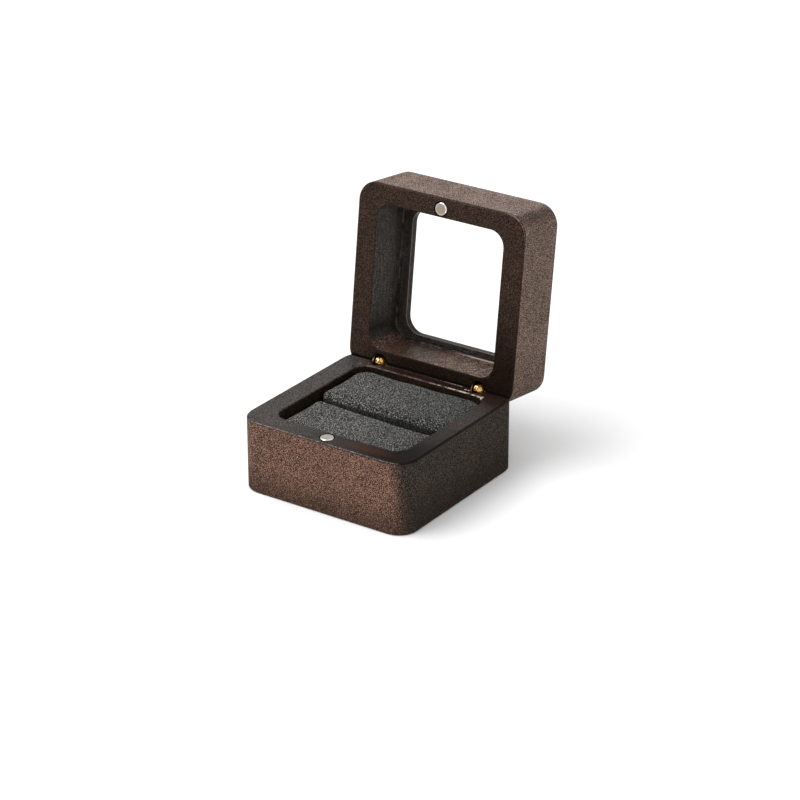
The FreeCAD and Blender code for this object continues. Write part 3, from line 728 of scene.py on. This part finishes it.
def pad(name, which, wall_side, sway, closing, slot_radius, left_lift):
    """Suede-covered foam pad that fills its side of the pocket and swells over the slot.

    wall_side is the Y side, -1 or 1, on which it meets the pocket's wall, sway picks its ripples,
    closing is how far it swells over the slot, whose edge is rounded to slot_radius, and
    left_lift is how far its left end rises.
    """
    low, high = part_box(f"{which}_pad_cover")
    crown_room = Vector((0, 0, 0.1 * MM))
    piece = new_piece(name, foam_block(low, high - crown_room, wall_side))
    remesh = piece.modifiers.new("remesh", "REMESH")
    remesh.mode, remesh.voxel_size = "VOXEL", 0.55 * MM
    block = piece.data
    piece.data = settled_mesh(piece)
    piece.modifiers.remove(remesh)
    bpy.data.meshes.remove(block)
    stuff(piece, low, 0.35 * MM)
    spare = [SLACK, SLACK]    # how far it may reach past its box in -Y and in +Y
    spare[0 if wall_side > 0 else 1] = closing
    for corner in piece.data.vertices:
        rise = clamped((corner.co.z - low.z) / (high.z - low.z))
        spot = corner.co * 1000
        from_slot = max(0.0, (corner.co.y - low.y) if wall_side > 0 else (high.y - corner.co.y))
        slot_side = max(0.0, 1 - 2 * from_slot / (high.y - low.y))
        from_end = max(0.0, min(corner.co.x - low.x, high.x - corner.co.x))
        ripple = noise.noise(Vector((spot.x / 7 + sway, spot.y / 7, spot.z / 9)))
        swell = max(slot_side * clamped((6 - spot.x) / 20), clamped((-10 - spot.x) / 7))
        lift = 0.2 * MM * ripple + left_lift * swell
        lift -= rounding(from_slot, slot_radius) + rounding(from_end, 1.0 * MM)
        corner.co.z += lift * rise
        bow = 0.3 * MM * noise.noise(Vector((spot.x / 9, sway, 0))) - closing * wall_side
        corner.co.y += bow * rise * slot_side
        corner.co.x = clamped(corner.co.x, low.x - SLACK, high.x + SLACK)
        corner.co.y = clamped(corner.co.y, low.y - spare[0], high.y + spare[1])
        corner.co.z = max(low.z, corner.co.z)
    smooth = piece.modifiers.new("smooth", "SUBSURF")
    smooth.levels = smooth.render_levels = 1
    piece.data.shade_smooth()
    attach(piece, "base")
    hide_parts(f"{which}_pad_cover", f"{which}_pad_core")
    return piece


# ------------------------------------------------------------------ traces of glue
def glue():
    """Dried glue, clear and dark in places and pale and cloudy in others."""
    made, graph, shader, place = material("dried_glue")
    spot = in_millimetres(graph, place)
    x, _, z = graph.split(spot)
    cloudy = graph.step(graph.noise(spot, 0.35, 2, 0.6), 0.45, 0.65, 0.0, 0.2)
    low_right = graph.product(graph.step(x, -2.0, 9.0), graph.step(z, 40.0, 30.0))
    cloudy = graph.calc("ADD", cloudy, low_right, clamp=True)
    graph.feed(shader.inputs["Base Color"], graph.mix(cloudy, (0.022, 0.016, 0.012, 1),
                                                      (0.46, 0.37, 0.31, 1)))
    graph.feed(shader.inputs["Roughness"], graph.step(cloudy, 0.0, 1.0, 0.15, 0.35))
    shader.inputs["Specular IOR Level"].default_value = 0.2
    return made


def pane_bead(finish):
    """Thin uneven bead of glue where the pane meets the walls of the lid's hollow."""
    wide, front, back = 20.9, -21.85, 20.5    # the walls of the hollow
    pane_face, thick, rounded = 13.4, 0.3, 4.5    # the pane's inner face, the bead itself
    shape = start_block((2 * wide - 0.1, back - front - 0.1, thick),
                        (0, (front + back) / 2, pane_face - 0.17))
    bevel(shape, [edge for edge in shape.edges
                  if abs(edge.verts[0].co.z - edge.verts[1].co.z) > 0.1], rounded, 8)
    caps = [face for face in shape.faces if abs(face.normal.z) > 0.9]
    bmesh.ops.inset_region(shape, faces=caps, thickness=0.3, use_even_offset=True)
    caps = [face for face in shape.faces if abs(face.normal.z) > 0.9 and face.calc_area() > 500]
    bmesh.ops.bridge_loops(shape, edges=[edge for face in caps for edge in face.edges])
    bmesh.ops.delete(shape, geom=caps, context="FACES_ONLY")
    long_edges = [edge for edge in shape.edges if edge.calc_length() > 3]
    bmesh.ops.subdivide_edges(shape, edges=long_edges, cuts=40, use_grid_fill=True)
    for corner in shape.verts:
        x, y, _ = corner.co
        if abs(x) < wide - 0.2 and front + 0.2 < y < back - 0.2:
            corner.co.z += 0.1 * (0.5 + 0.9 * noise.noise(Vector((x / 1.7, y / 1.7, 4.2))))
    bmesh.ops.recalc_face_normals(shape, faces=shape.faces)
    bmesh.ops.scale(shape, vec=(MM, MM, MM), verts=shape.verts)
    bmesh.ops.transform(shape, matrix=lid_place(), verts=shape.verts)
    piece = new_piece("pane_bead", as_mesh(shape, "pane_bead"))
    piece.data.materials.append(finish)
    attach(piece, "lid")


def hinge_dabs(finish):
    """Two specks of glue on the base's rim beside the right hinge."""
    shape = bmesh.new()
    for x, y, across, deep in ((13.75, 22.2, 0.75, 0.55), (14.75, 22.25, 0.6, 0.5)):
        speck = bmesh.ops.create_uvsphere(shape, u_segments=16, v_segments=10, radius=0.5)["verts"]
        bmesh.ops.scale(shape, vec=(across, deep, 0.14), verts=speck)
        bmesh.ops.translate(shape, vec=(x, y, BASE_RIM), verts=speck)
    bmesh.ops.scale(shape, vec=(MM, MM, MM), verts=shape.verts)
    piece = new_piece("hinge_dabs", as_mesh(shape, "hinge_dabs"))
    piece.data.shade_smooth()
    piece.data.materials.append(finish)
    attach(piece, "base")


# ------------------------------------------------------------------ floor and light
def seen_directly(graph):
    """1 for a look at the surface by the camera, in a reflection or through the pane."""
    seen = graph.add("ShaderNodeLightPath").outputs
    return graph.calc("MAXIMUM", graph.calc("MAXIMUM", seen["Is Camera Ray"],
                                            seen["Is Glossy Ray"]), seen["Is Transmission Ray"])


def set_floor():
    """Pale floor with a slight glow of its own where it is looked at, so that it stays white."""
    shape = bmesh.new()
    bmesh.ops.create_circle(shape, cap_ends=True, segments=96, radius=4.0)
    floor = new_piece("floor", as_mesh(shape, "floor"))
    made = bpy.data.materials.new("pale_floor")
    made.use_nodes = True
    graph = Graph(made.node_tree)
    glow = graph.add("ShaderNodeEmission", {
        "Color": WHITE, "Strength": graph.product(seen_directly(graph), 0.03)})
    matt = graph.add("ShaderNodeBsdfDiffuse", {"Color": (0.86, 0.86, 0.86, 1)})
    both = graph.add("ShaderNodeAddShader")
    graph.feed(both.inputs[0], matt.outputs[0])
    graph.feed(both.inputs[1], glow.outputs[0])
    graph.feed(graph.add("ShaderNodeOutputMaterial").inputs["Surface"], both.outputs[0])
    floor.data.materials.append(made)


def lamp(name, place, aim, size, power):
    light = bpy.data.lights.new(name, "AREA")
    light.shape, light.size, light.energy = "DISK", size, power
    made = bpy.data.objects.new(name, light)
    made.location = place
    made.rotation_euler = (Vector(aim) - Vector(place)).to_track_quat("-Z", "Y").to_euler()
    bpy.context.scene.collection.objects.link(made)


def set_light():
    """Soft white room, and one wide lamp from the upper left."""
    world = bpy.data.worlds.new("studio")
    world.use_nodes = True
    bpy.context.scene.world = world
    graph = Graph(world.node_tree)
    back = graph.add("ShaderNodeBackground", {
        "Color": WHITE, "Strength": graph.step(seen_directly(graph), 0, 1, 0.87, 1.0)})
    graph.feed(graph.add("ShaderNodeOutputWorld").inputs["Surface"], back.outputs[0])
    lamp("key_light", (-0.55, -0.4, 1.2), (0, 0, 0.03), 1.2, 16.0)


set_camera()
set_floor()
set_light()

hinge_metal = brass()
finishes = {"base_block": wood("dyed_wood_base", lid=False),
            "lid_frame": wood("dyed_wood_lid", lid=True), "window_pane": window_glass(),
            "base_magnet": magnet_plating("nickel_base", lid=False),
            "lid_magnet": magnet_plating("nickel_lid", lid=True), "insert_board": card()}
for name, node in frame["nodes"].items():
    finish = finishes.get(name, hinge_metal if name.startswith("hinge") else None)
    if finish:
        node.data.materials.clear()
        node.data.materials.append(finish)

cloth = suede()
for piece in (pad("front_pad", "front", -1, 3.1, 0.3 * MM, 0.3 * MM, 0.8 * MM),
              pad("rear_pad", "rear", 1, 7.7, 0.85 * MM, 2.2 * MM, 0.0)):
    piece.data.materials.append(cloth)
dried_glue = glue()
pane_bead(dried_glue)
hinge_dabs(dried_glue)

bpy.context.scene.view_settings.view_transform = "Standard"
